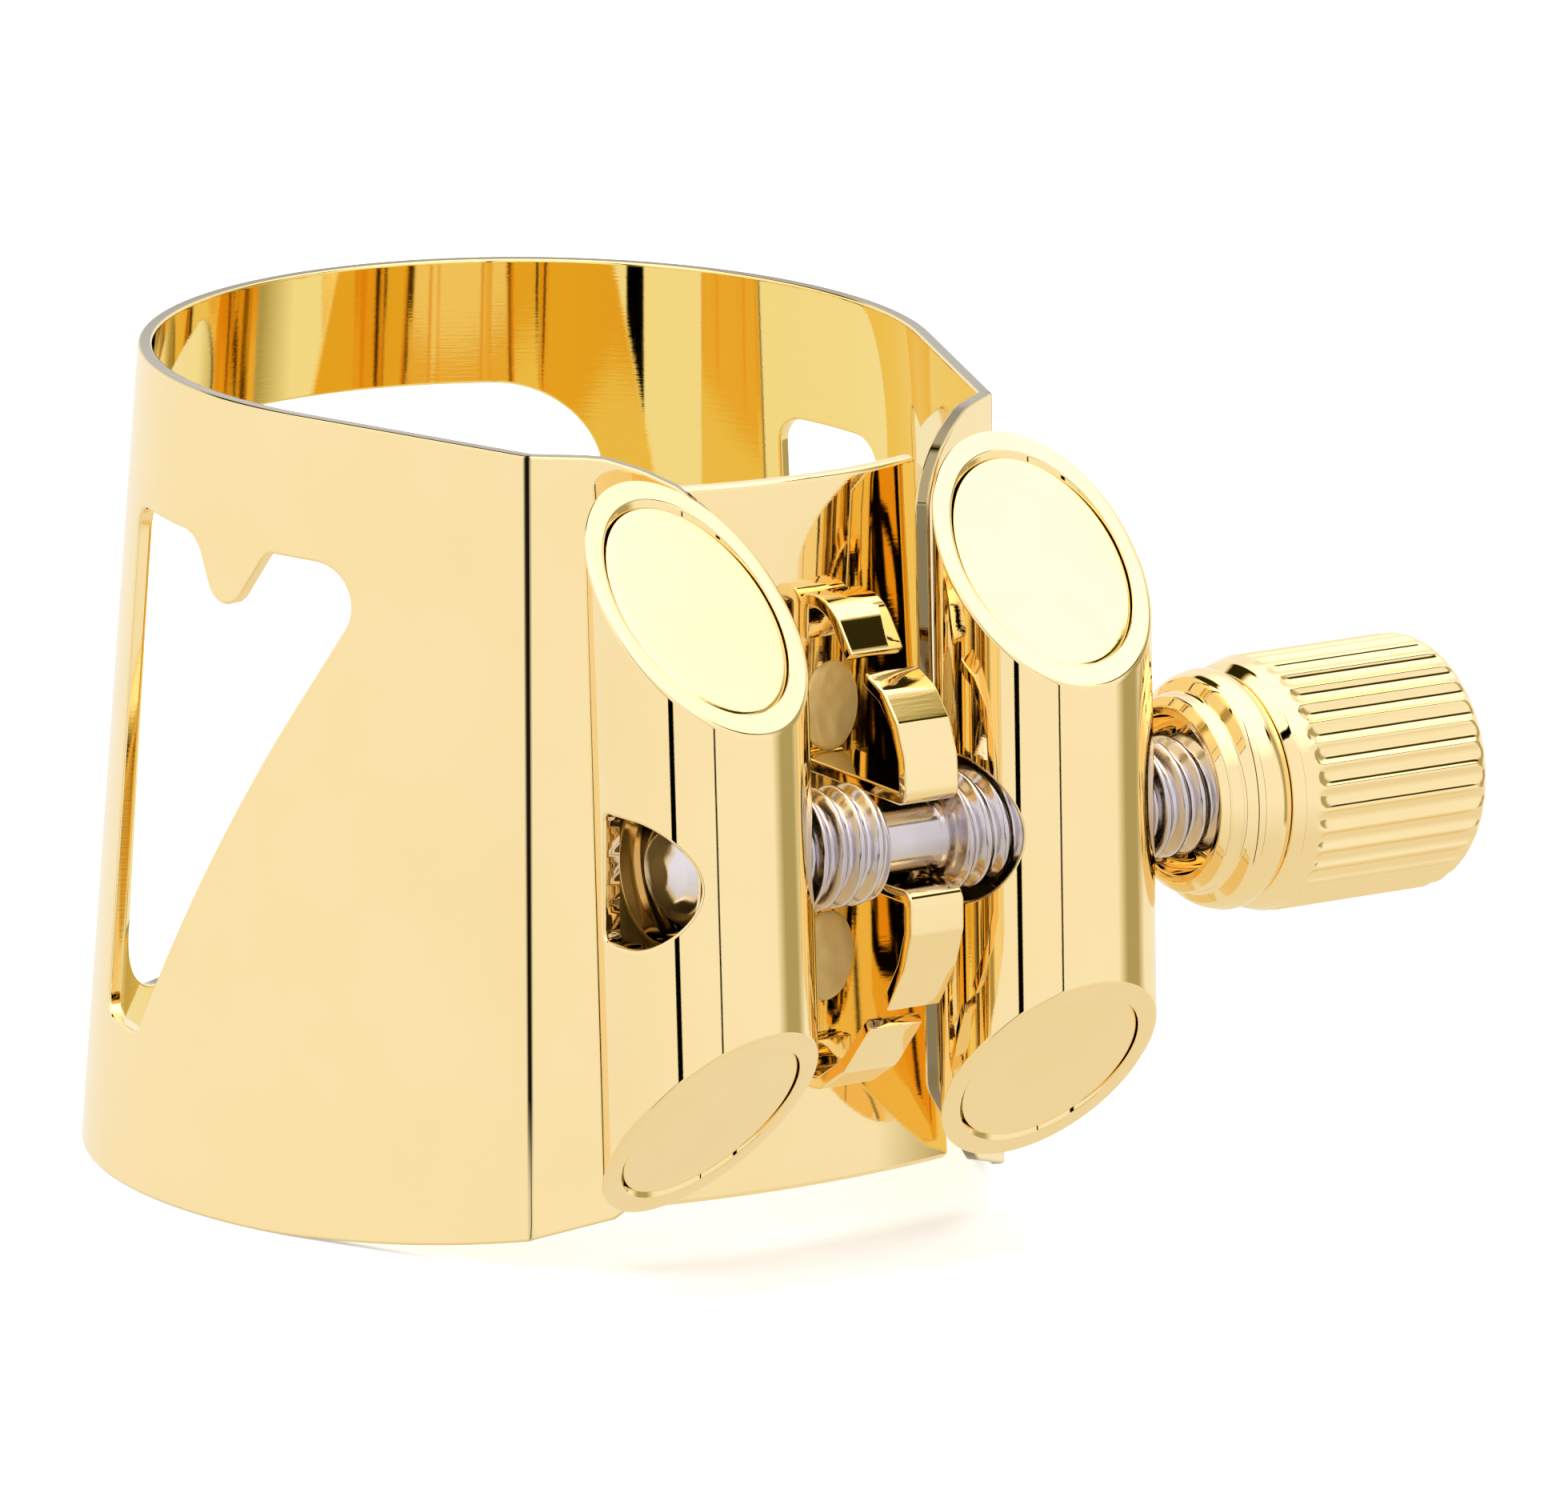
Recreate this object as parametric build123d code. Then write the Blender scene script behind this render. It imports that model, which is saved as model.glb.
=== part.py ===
from build123d import *
import math
import os

# Saxophone ligature with two hollow posts, one clamping screw and a hinged pressure plate.
# Millimetres. Origin: centre of the band's lower rim. +Z runs up the band's axis towards the
# mouthpiece tip, +X points at the thumb knob, and the posts stand on the -Y side.

# ------------------------------------------------------------------ driving dimensions
BAND_HEIGHT = 26.8
BASE_RADIUS = 14.75          # outside of the sheet, lower rim
TOP_RADIUS = 13.1            # outside of the sheet, upper rim
SHEET = 0.5                  # band sheet thickness
BASE_CORNER = (9.25, 14.30)  # sharp front fold at the lower rim: half width, reach
TOP_CORNER = (9.0, 13.05)    # the same fold at the upper rim

POST_X = 6.6                 # half the distance between the posts
POST_REACH = 19.95           # post axis in front of the band axis, at screw height
POST_RADIUS = 3.5
POST_WALL = 0.62
POST_LEAN = 3.85             # degrees, tops lean back with the band's taper
POST_TOE_IN = 5.0            # degrees, slanted ends face slightly towards each other
POST_TOP, TOP_SLOPE = 22.95, 0.92       # slanted end: height on the axis, fall per mm outward
POST_BASE, BASE_SLOPE = 6.15, 1.12

SCREW_HEIGHT = 14.55
SCREW_RADIUS = 2.0
WAIST = (-0.3, 2.0)          # plain stretch of the screw that the claws hold
WAIST_RADIUS = 1.15
SCREW_LEFT_END = -8.3
BORE_RADIUS = 2.25

KNOB_START, KNOB_END = 13.7, 21.5
KNOB_RADIUS = 4.2
FLUTES = 36

STRAP_ANGLE = 20.0           # half angle of the back straps that join the two halves
FLEX_GAP = 0.06              # play at the line where a half bends away from the straps
SOLDER_GAP = 0.06            # between a wing and the post that it hugs

PLATE_CENTRE = 0.4
PLATE_HALF_BASE, PLATE_HALF_TOP = 6.4, 4.6     # the plate narrows upwards like the band
PLATE_FRONT = 15.3           # plate's outer face in front of the band axis
PLATE_BOW = 0.7              # how far the plate's side edges fall behind its middle
PLATE_THICK = 0.6
PLATE_BASE, PLATE_TOP = 1.8, 25.5
CLAW_CENTRE, CLAW_WIDTH = 1.1, 2.06
CLAW_SHEET = 0.45

os.makedirs("parts", exist_ok=True)


# ------------------------------------------------------------------ plane geometry helpers
def between(low, high, share):
    return low + (high - low) * share


def on_circle(radius, angle):
    """Point at an angle in radians from +Y towards +X."""
    return Vector(radius * math.sin(angle), radius * math.cos(angle))


def inward(direction):
    """Unit normal on the right-hand side of a direction, which faces the band's inside."""
    return Vector(direction.Y, -direction.X)


def post_reach(height):
    return POST_REACH - math.tan(math.radians(POST_LEAN)) * (height - SCREW_HEIGHT)


def yz_solid(wire, low_x, high_x):
    """Outline in the Y-Z plane, pushed along X."""
    face = Plane.YZ * make_face(wire)
    return Pos(low_x, 0, 0) * extrude(face, high_x - low_x, dir=(1, 0, 0))


def bent_strip(points, thickness, low_x, width):
    """Strip of sheet bent along (reach, height) points, reach counted towards -Y."""
    path = [Vector(-reach, height) for reach, height in points]
    sides = ([], [])
    for i, point in enumerate(path):
        before = (point - path[i - 1]).normalized() if i else None
        after = (path[i + 1] - point).normalized() if i + 1 < len(path) else None
        first, second = before or after, after or before
        mitre = inward(first) + inward(second)
        mitre = mitre / (1 + inward(first).dot(inward(second)))
        for side, sign in zip(sides, (0.5, -0.5)):
            side.append(point + mitre * thickness * sign)
    outline = Polyline(*sides[0], *reversed(sides[1]), close=True)
    return yz_solid(outline, low_x, low_x + width)


# ------------------------------------------------------------------ band
def half_outline(height):
    """Closed outline of the right half of the sheet at one height, from strap to wing tip."""
    share = height / BAND_HEIGHT
    radius = between(BASE_RADIUS, TOP_RADIUS, share)
    corner = Vector(between(BASE_CORNER[0], TOP_CORNER[0], share),
                    -between(BASE_CORNER[1], TOP_CORNER[1], share))
    post = Vector(POST_X, -post_reach(height))
    hug = POST_RADIUS + SOLDER_GAP

    first = math.radians(STRAP_ANGLE) + FLEX_GAP / radius
    last = math.atan2(corner.X, corner.Y) - math.acos(radius / corner.length)
    middle = (first + last) / 2
    to_post = post - corner
    swing = math.asin(hug / to_post.length)
    wing = to_post.normalized().rotate(Axis.Z, -math.degrees(swing))
    touch = corner + wing * math.sqrt(to_post.length ** 2 - hug ** 2)
    wall = (corner - on_circle(radius, last)).normalized()
    mitre = (inward(wall) + inward(wing)) / (1 + inward(wall).dot(inward(wing)))
    start_angle = math.atan2(touch.Y - post.Y, touch.X - post.X)
    hug_arc = math.radians(14)

    def hugging(reach, angle):
        return post + Vector(math.cos(start_angle + angle), math.sin(start_angle + angle)) * reach

    def row(depth):
        return [on_circle(radius - depth, first), on_circle(radius - depth, middle),
                on_circle(radius - depth, last), corner + mitre * depth,
                hugging(hug + depth, 0), hugging(hug + depth, hug_arc / 2),
                hugging(hug + depth, hug_arc)]

    outer, inner = row(0), row(SHEET)
    return Wire([
        ThreePointArc(outer[0], outer[1], outer[2]), Line(outer[2], outer[3]),
        Line(outer[3], outer[4]), ThreePointArc(outer[4], outer[5], outer[6]),
        Line(outer[6], inner[6]),
        ThreePointArc(inner[6], inner[5], inner[4]), Line(inner[4], inner[3]),
        Line(inner[3], inner[2]), ThreePointArc(inner[2], inner[1], inner[0]),
        Line(inner[0], outer[0]),
    ])


def strap_outline(height):
    radius = between(BASE_RADIUS, TOP_RADIUS, height / BAND_HEIGHT)
    edge = math.radians(STRAP_ANGLE)
    outer = [on_circle(radius, angle) for angle in (-edge, 0, edge)]
    inner = [on_circle(radius - SHEET, angle) for angle in (-edge, 0, edge)]
    return Wire([ThreePointArc(*outer), Line(outer[2], inner[2]),
                 ThreePointArc(*reversed(inner)), Line(inner[0], outer[0])])


def tapered(outline):
    faces = [Pos(0, 0, height) * Face(outline(height)) for height in (0, BAND_HEIGHT)]
    return Solid.make_loft([face.outer_wire() for face in faces], ruled=True)


def side_envelope():
    """Side view of the band: flat rims that rise and fall towards the posts."""
    foot = (-5.0, 0.0)
    fold = (-14.2, 1.15)
    lower = TangentArc(foot, fold, tangent=(-1, 0))
    outline = Polyline(fold, (-15.9, 1.95), (-22, 10.9), (-22, 16.9), (-16.0, 25.87),
                       (-14.7, BAND_HEIGHT), (20, BAND_HEIGHT), (20, 0), foot)
    return yz_solid(Wire([lower, *outline.edges()]), -20, 20)


def side_window():
    """Seven-shaped window: tall back edge, two lobes parted by a tooth, long diagonal."""
    corners = [(4.2, 5.15, 0.7), (4.2, 22.15, 0.9), (-0.25, 22.15, 1.3), (-1.9, 19.25, 0.95),
               (-3.75, 22.15, 0.5), (-7.9, 22.15, 1.37), (1.55, 5.15, 0.5)]
    outline = FilletPolyline(*[corner[:2] for corner in corners],
                             radius=[corner[2] for corner in corners], close=True)
    return yz_solid(outline, 5, 20)


def back_window():
    half_width, low, high = 9.2, 3.3, 22.5
    outline = FilletPolyline((-half_width, low), (-half_width, high), (half_width, high),
                             (half_width, low), radius=[2.4, 3.2, 3.2, 2.4], close=True)
    return extrude(Plane.XZ * make_face(outline), 20, dir=(0, 1, 0))


def band():
    half = tapered(half_outline) & side_envelope()
    half = half - side_window() - back_window()
    straps = (tapered(strap_outline) - back_window()).solids().sort_by(Axis.Z)
    return {"band_right": half, "band_left": mirror(half, about=Plane.YZ),
            "bridge_lower": straps[0], "bridge_upper": straps[-1]}


# ------------------------------------------------------------------ posts
def end_plane(height, slope, drop=0.0):
    """Slanted plane across a post, in the post's frame, moved down by drop."""
    back = math.tan(math.radians(POST_LEAN)) * (height - SCREW_HEIGHT)
    return Plane(origin=(0, back, height - SCREW_HEIGHT - drop), z_dir=(0, -slope, 1))


def between_planes(solid, upper, lower):
    solid = split(solid, bisect_by=upper, keep=Keep.BOTTOM)
    return split(solid, bisect_by=lower, keep=Keep.TOP)


def round_window():
    """Round hole on the knob's side of a post, which the screw runs through."""
    return screw_axis() * Pos(0, 0, POST_X + 5) * Cylinder(BORE_RADIUS - 0.1, 10)


def half_round_window():
    """Inspection hole over the screw's plain end: flat at the back, round at the front."""
    radius, forward, back, corner = 2.07, -0.77, 0.55, 0.3
    flat = Polyline((forward, radius), (back, radius), (back, -radius), (forward, -radius))
    flat = fillet(flat.vertices().sort_by(Axis.X)[-2:], corner)
    nose = ThreePointArc((forward, -radius), (forward - radius, 0), (forward, radius))
    outline = Wire([*flat.edges(), nose])
    return Pos(0, -POST_REACH, SCREW_HEIGHT) * yz_solid(outline, POST_X, POST_X + 10)


def post_at_right(outer_window):
    """Hollow post with its end discs and threaded bush, standing at +X."""
    lean = Rot(-POST_LEAN, 0, 0)
    bore_radius = POST_RADIUS - POST_WALL
    top, base = end_plane(POST_TOP, TOP_SLOPE), end_plane(POST_BASE, -BASE_SLOPE)
    place = Pos(POST_X, -POST_REACH, SCREW_HEIGHT) * Rot(0, 0, -POST_TOE_IN)

    shell = between_planes(lean * Cylinder(POST_RADIUS, 50), top, base)
    rims = shell.edges().filter_by(lambda e: e.geom_type == GeomType.ELLIPSE)
    shell = fillet(rims, 0.24) - lean * Cylinder(bore_radius, 60)
    core = lean * Cylinder(bore_radius - 0.02, 50)

    recess, disc_thick = 0.12, 0.55
    upper_disc = between_planes(core, end_plane(POST_TOP, TOP_SLOPE, recess),
                                end_plane(POST_TOP, TOP_SLOPE, recess + disc_thick))
    lower_disc = between_planes(core, end_plane(POST_BASE, -BASE_SLOPE, -recess - disc_thick),
                                end_plane(POST_BASE, -BASE_SLOPE, -recess))
    shell, upper_disc, lower_disc = place * shell, place * upper_disc, place * lower_disc
    bush = (place * core) & screw_axis() * Cylinder(2.72, 40)
    bush = bush - screw_axis() * Cylinder(BORE_RADIUS, 60)
    inner_hole = screw_axis() * Pos(0, 0, POST_X - 5) * Cylinder(BORE_RADIUS + 0.1, 10)
    return {"post": shell - inner_hole - outer_window, "upper_disc": upper_disc,
            "lower_disc": lower_disc, "thread_bush": bush}


def screw_axis():
    """Location whose Z axis lies along the screw."""
    return Pos(0, -POST_REACH, SCREW_HEIGHT) * Rot(0, 90, 0)


def posts():
    nodes = {"right_" + name: solid for name, solid in post_at_right(round_window()).items()}
    for name, solid in post_at_right(half_round_window()).items():
        nodes["left_" + name] = mirror(solid, about=Plane.YZ)
    return nodes


# ------------------------------------------------------------------ screw and knob
def turned(profile):
    """Turned part from (position along the screw, radius) points, closed on the axis."""
    first, last = profile[0], profile[-1]
    points = [(r, x) for x, r in profile]
    outline = Polyline((0, first[0]), *points, (0, last[0]), close=True)
    return screw_axis() * revolve(Plane.XZ * make_face(outline), Axis.Z)


def screw_and_knob():
    left, right = WAIST
    chamfer = 0.35
    shank_end = 19.0
    screw = turned([
        (SCREW_LEFT_END, 0.6), (SCREW_LEFT_END + 0.25, 1.15), (SCREW_LEFT_END + 0.6, 1.5),
        (SCREW_LEFT_END + 1.0, 1.65), (SCREW_LEFT_END + 1.4, SCREW_RADIUS),
        (left - chamfer, SCREW_RADIUS), (left, WAIST_RADIUS), (right, WAIST_RADIUS),
        (right + chamfer, SCREW_RADIUS), (shank_end, SCREW_RADIUS)])
    shank_bore = turned([(0, SCREW_RADIUS), (shank_end, SCREW_RADIUS)])

    mouth, mouth_depth = 11.45, 1.9
    collar = turned([
        (mouth, 2.9), (mouth + 0.15, 3.1), (mouth + 0.4, 3.2), (mouth + 0.75, 3.15),
        (mouth + 0.95, 3.25), (mouth + 1.15, 3.6), (mouth + 1.45, 3.88), (mouth + 1.8, 3.95),
        (mouth + 2.05, 3.85), (KNOB_START, 3.65)])
    collar = collar - turned([(mouth - 1, 2.7), (mouth, 2.7), (mouth + mouth_depth, 2.45)])

    knob = turned([
        (KNOB_START, 3.7), (KNOB_START + 0.12, 3.95), (KNOB_START + 0.55, KNOB_RADIUS),
        (KNOB_END - 0.95, KNOB_RADIUS), (KNOB_END - 0.5, 4.05), (KNOB_END - 0.2, 3.7),
        (KNOB_END - 0.06, 3.1), (KNOB_END, 2.2)])
    flute = Pos(KNOB_RADIUS + 0.16, 0, 0) * Cylinder(0.34, 12)
    start = KNOB_START + 0.8
    flutes = [screw_axis() * Pos(0, 0, start + 6) * Rot(0, 0, i * 360 / FLUTES) * flute
              for i in range(FLUTES)]
    return {"clamp_screw": screw, "knob_collar": collar - shank_bore,
            "thumb_knob": knob - flutes - shank_bore}


# ------------------------------------------------------------------ pressure plate
def pressure_plate():
    """Bowed plate with two lengthwise rails that bear on the reed."""
    def outline(half, height):
        front = [(-half, -PLATE_FRONT + PLATE_BOW), (0, -PLATE_FRONT),
                 (half, -PLATE_FRONT + PLATE_BOW)]
        back = [(x, y + PLATE_THICK) for x, y in front]
        wire = Wire([ThreePointArc(*front), Line(front[2], back[2]),
                     ThreePointArc(*reversed(back)), Line(back[0], front[0])])
        return Pos(PLATE_CENTRE, 0, height) * wire

    height = PLATE_TOP - PLATE_BASE
    plate = Solid.make_loft([outline(PLATE_HALF_BASE, PLATE_BASE),
                             outline(PLATE_HALF_TOP, PLATE_TOP)], ruled=True)
    rail_width, rail_depth, rail_x = 1.1, 1.1, 2.9
    rails = [Pos(PLATE_CENTRE + side * rail_x, -PLATE_FRONT + PLATE_THICK + 0.25,
                 (PLATE_BASE + PLATE_TOP) / 2) * Box(rail_width, rail_depth, height - 2.4)
             for side in (-1, 1)]
    front = Pos(PLATE_CENTRE, -PLATE_FRONT - 2 + 0.5, SCREW_HEIGHT) * Box(12, 4, 40)
    return plate + [rail - front for rail in rails]


def plate_fittings(plate):
    """Claws that snap on the screw's waist, two stop hooks, and their solder pads."""
    low_x = CLAW_CENTRE - CLAW_WIDTH / 2
    seat = PLATE_FRONT + CLAW_SHEET / 2 - 0.03
    z = SCREW_HEIGHT

    def strip(points):
        return bent_strip([(reach, z + rise) for reach, rise in points],
                          CLAW_SHEET, low_x, CLAW_WIDTH) - plate

    bracket = strip([
        (19.0, 5.1), (20.0, 4.7), (20.75, 3.9), (21.2, 2.9), (21.35, 1.6), (seat, 1.6),
        (seat, -1.6), (21.7, -1.55), (21.75, -2.7), (21.4, -3.9), (20.5, -5.4)])
    upper_hook = strip([(seat, 5.7), (seat, 7.0), (16.4, 7.05), (17.2, 6.7), (18.1, 5.75)])
    lower_hook = strip([(seat, -7.7), (seat, -8.9), (16.8, -8.8), (18.2, -7.9), (19.6, -6.2)])

    nodes = {"claw_bracket": bracket, "upper_hook": upper_hook, "lower_hook": lower_hook}
    pad_x, pad_size, pad_thick = 1.35, (1.1, 1.5), 0.2
    for name, rise in (("upper_pad", 3.25), ("lower_pad", -5.05)):
        pad = extrude(Plane.XZ * Ellipse(*pad_size), pad_thick + 0.3, dir=(0, -1, 0))
        pad = Pos(pad_x, -PLATE_FRONT + 0.3, z + rise) * pad
        nodes[name] = pad - plate
    return nodes


# ------------------------------------------------------------------ whole ligature
def ligature():
    nodes = {}
    nodes.update(band())
    nodes.update(posts())
    nodes.update(screw_and_knob())
    plate = pressure_plate()
    nodes["pressure_plate"] = plate
    nodes.update(plate_fittings(plate))
    return nodes


for node, solid in ligature().items():
    export_step(solid, os.path.join("parts", node + ".step"))
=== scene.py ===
import math

import bmesh
import bpy
import numpy as np
from mathutils import Matrix
from mathutils.geometry import delaunay_2d_cdt


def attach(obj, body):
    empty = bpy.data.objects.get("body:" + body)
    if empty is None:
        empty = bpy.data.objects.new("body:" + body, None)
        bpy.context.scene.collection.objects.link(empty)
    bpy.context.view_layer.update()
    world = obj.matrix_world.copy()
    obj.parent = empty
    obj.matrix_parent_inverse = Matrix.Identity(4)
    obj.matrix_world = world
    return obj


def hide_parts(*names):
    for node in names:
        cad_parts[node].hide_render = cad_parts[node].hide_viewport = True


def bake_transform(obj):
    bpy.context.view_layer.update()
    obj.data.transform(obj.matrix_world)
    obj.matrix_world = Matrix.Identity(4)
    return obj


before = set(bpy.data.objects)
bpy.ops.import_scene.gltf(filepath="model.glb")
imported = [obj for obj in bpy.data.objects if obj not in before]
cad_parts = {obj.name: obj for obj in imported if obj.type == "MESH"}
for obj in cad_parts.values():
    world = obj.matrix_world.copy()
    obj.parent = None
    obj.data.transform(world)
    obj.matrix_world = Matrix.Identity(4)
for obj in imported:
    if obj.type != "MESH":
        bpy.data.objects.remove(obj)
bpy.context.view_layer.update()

# Saxophone ligature: clamping band, two posts, left-and-right-hand screw, pressure plate.
# Sizes are written in millimetres and made metres when a mesh is built. The axes are the part's.
MM = 0.001

# ------------------------------------------------------------------ sizes
BAND_HEIGHT = 26.8
BASE_RADIUS, TOP_RADIUS = 14.75, 13.1
SHEET = 0.5
BASE_CORNER, TOP_CORNER = (9.25, 14.30), (9.0, 13.05)
FOLD_RADIUS = 0.62           # outside of the front fold
RIM_ROUND = 0.11             # broken edges of the band
HUG_ARC = math.radians(14)   # how far a wing follows its post
BACK_WINDOW = 9.2, 3.3, 22.5 # half width, lower and upper edge
SIDE_WINDOW = [              # corners (Y, Z, rounding) of the seven-shaped window
    (4.2, 5.15, 0.7), (4.2, 22.15, 0.9), (-0.25, 22.15, 1.3), (-1.9, 19.25, 0.95),
    (-3.75, 22.15, 0.5), (-7.9, 22.15, 1.37), (1.55, 5.15, 0.5)]

# the rims towards the wings' tips: reaches forward, and a height for each
LOWER_TIP = (14.2, 15.9, 16.35, 22), (1.15, 1.99, 2.64, 10.94)
UPPER_TIP = (14.1, 14.5, 15.2, 15.9, 16.3, 22), (26.8, 26.76, 26.42, 25.9, 25.4, 16.86)

POST_X, POST_REACH, POST_RADIUS, POST_WALL = 6.6, 19.95, 3.5, 0.62
POST_LEAN, POST_TOE_IN = math.radians(3.85), math.radians(5.0)
POST_TOP, TOP_SLOPE = 22.95, 0.92
POST_BASE, BASE_SLOPE = 6.15, -1.12
SOLDER_GAP = 0.06
INNER_HOLE, OUTER_HOLE, HOLE_ROUND = 2.35, 2.15, 0.13   # holes for the screw through a post

SCREW_HEIGHT = 14.55
CREST_RADIUS, WAIST_RADIUS = 1.97, 1.15
PITCH, THREAD_DEPTH = 0.7, 0.34
KNOB_START, KNOB_END, KNOB_RADIUS, FLUTES = 13.7, 21.5, 4.2, 36

PLATE_CENTRE, PLATE_HALF_BASE, PLATE_HALF_TOP = 0.4, 6.4, 4.6
PLATE_FRONT, PLATE_BOW, PLATE_THICK = 15.3, 0.7, 0.6
PLATE_BASE, PLATE_TOP = 1.8, 25.5
CLAW_CENTRE, CLAW_WIDTH, CLAW_SHEET = 1.1, 2.06, 0.45
PAD_X = 1.35                 # middle of the solder pads


# ------------------------------------------------------------------ node trees
class Nodes:
    """Short hand for building a node tree."""

    def __init__(self, tree):
        self.tree = tree

    def add(self, kind, values=None, **settings):
        node = self.tree.nodes.new(kind)
        for key, value in settings.items():
            setattr(node, key, value)
        for key, value in (values or {}).items():
            self.put(node.inputs[key], value)
        return node

    def put(self, socket, value):
        if isinstance(value, bpy.types.NodeSocket):
            self.tree.links.new(value, socket)
        else:
            socket.default_value = value

    def math(self, operation, *values, clamp=False):
        node = self.add("ShaderNodeMath", operation=operation, use_clamp=clamp)
        for socket, value in zip(node.inputs, values):
            self.put(socket, value)
        return node.outputs[0]

    def ramp(self, value, stops):
        node = self.add("ShaderNodeValToRGB", {"Fac": value})
        elements = node.color_ramp.elements
        while len(elements) < len(stops):
            elements.new(0.5)
        for element, (place, colour) in zip(elements, stops):
            element.position = place
            element.color = colour if len(colour) == 4 else (*colour, 1)
        return node.outputs["Color"]

    def mix(self, share, first, second):
        node = self.add("ShaderNodeMix", {"Factor": share}, data_type="RGBA")
        self.put(node.inputs[6], first)
        self.put(node.inputs[7], second)
        return node.outputs[2]

    def spread(self, value, low, high, new_low, new_high):
        node = self.add("ShaderNodeMapRange", {"Value": value, "From Min": low, "From Max": high,
                                               "To Min": new_low, "To Max": new_high})
        return node.outputs["Result"]


# ------------------------------------------------------------------ finishes
def metal(name, light, deep, rough, lines, grain=0.0, grain_size=3000.0, bare=1.0):
    """Plated or bare metal: cloudy tone, fine polishing lines, and grain where it is matte."""
    material = bpy.data.materials.new(name)
    material.use_nodes = True
    n = Nodes(material.node_tree)
    shader = material.node_tree.nodes["Principled BSDF"]
    place = n.add("ShaderNodeTexCoord").outputs["Object"]
    cloud = n.add("ShaderNodeTexNoise", {"Vector": place, "Scale": 190.0, "Detail": 3.0,
                                         "Roughness": 0.55}).outputs["Fac"]
    stretched = n.add("ShaderNodeMapping", {"Vector": place, "Scale": (900.0, 900.0, 14000.0)})
    polish = n.add("ShaderNodeTexNoise", {"Vector": stretched.outputs["Vector"], "Scale": 1.0,
                                          "Detail": 4.0}).outputs["Fac"]
    speck = n.add("ShaderNodeTexNoise", {"Vector": place, "Scale": grain_size, "Detail": 5.0,
                                         "Roughness": 0.65}).outputs["Fac"]
    tone = n.ramp(cloud, [(0.32, deep), (0.62, light)])
    n.put(shader.inputs["Base Color"], tone)
    wear = n.math("MULTIPLY_ADD", n.math("SUBTRACT", polish, 0.5), lines, rough)
    wear = n.math("MULTIPLY_ADD", n.math("SUBTRACT", cloud, 0.5), rough * 0.8, wear)
    n.put(shader.inputs["Roughness"], n.math("MAXIMUM", wear, 0.015))
    height = n.math("ADD", n.math("MULTIPLY", polish, 0.25), n.math("MULTIPLY", speck, grain))
    bump = n.add("ShaderNodeBump", {"Height": height, "Strength": 0.35, "Distance": 0.000012})
    n.put(shader.inputs["Normal"], bump.outputs["Normal"])
    shader.inputs["Metallic"].default_value = bare
    return material, shader, n


# painted shade: a deeper gold for inside the band and tubes, and a near-black for dark lines painted at
# the fold and rims
INSIDE_SHADE_GOLD, PAINTED_LINE_SHADE = (0.955, 0.74, 0.26, 1), (0.012, 0.009, 0.004, 1)


def gold_finish():
    material, shader, n = metal("polished_gold_plate", (0.985, 0.79, 0.44), (0.975, 0.77, 0.41),
                                0.035, 0.03)
    tone = shader.inputs["Base Color"].links[0].from_socket
    # the mark is 1 on the painted dark lines (painted shade along the front fold and the rims), -1 inside
    # the band and -2 inside the tubes, where a deeper gold is painted as shade
    mark = n.add("ShaderNodeAttribute", attribute_name="painted_shade_and_matt").outputs["Fac"]
    # painted shade and reflection: a deeper gold inside the band and the tubes
    inside_shade_share = n.math("MULTIPLY", mark, -1.0, clamp=True)
    with_inside_shade = n.mix(inside_shade_share, tone, INSIDE_SHADE_GOLD)
    # painted shade: the near-black line colour is mixed in where the mark is above zero
    n.put(shader.inputs["Base Color"], n.mix(n.math("MAXIMUM", mark, 0.0), with_inside_shade, PAINTED_LINE_SHADE))
    matt = n.math("SUBTRACT", n.math("MULTIPLY", mark, -1.0), 1.0, clamp=True)
    polished = shader.inputs["Roughness"].links[0].from_socket
    n.put(shader.inputs["Roughness"], n.math("MULTIPLY_ADD", matt, 0.35, polished))
    n.put(shader.inputs["Metallic"], n.math("MULTIPLY_ADD", matt, -0.55, 1.0))
    return material


GOLD = gold_finish()
STEEL = metal("plain_steel", (0.80, 0.74, 0.76), (0.56, 0.50, 0.53), 0.16, 0.16, 0.5, 2600.0)[0]
MATTE = metal("matte_gold", (1.0, 0.82, 0.40), (0.99, 0.72, 0.26), 0.42, 0.1, 6.0, 1500.0, 0.4)[0]


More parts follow.
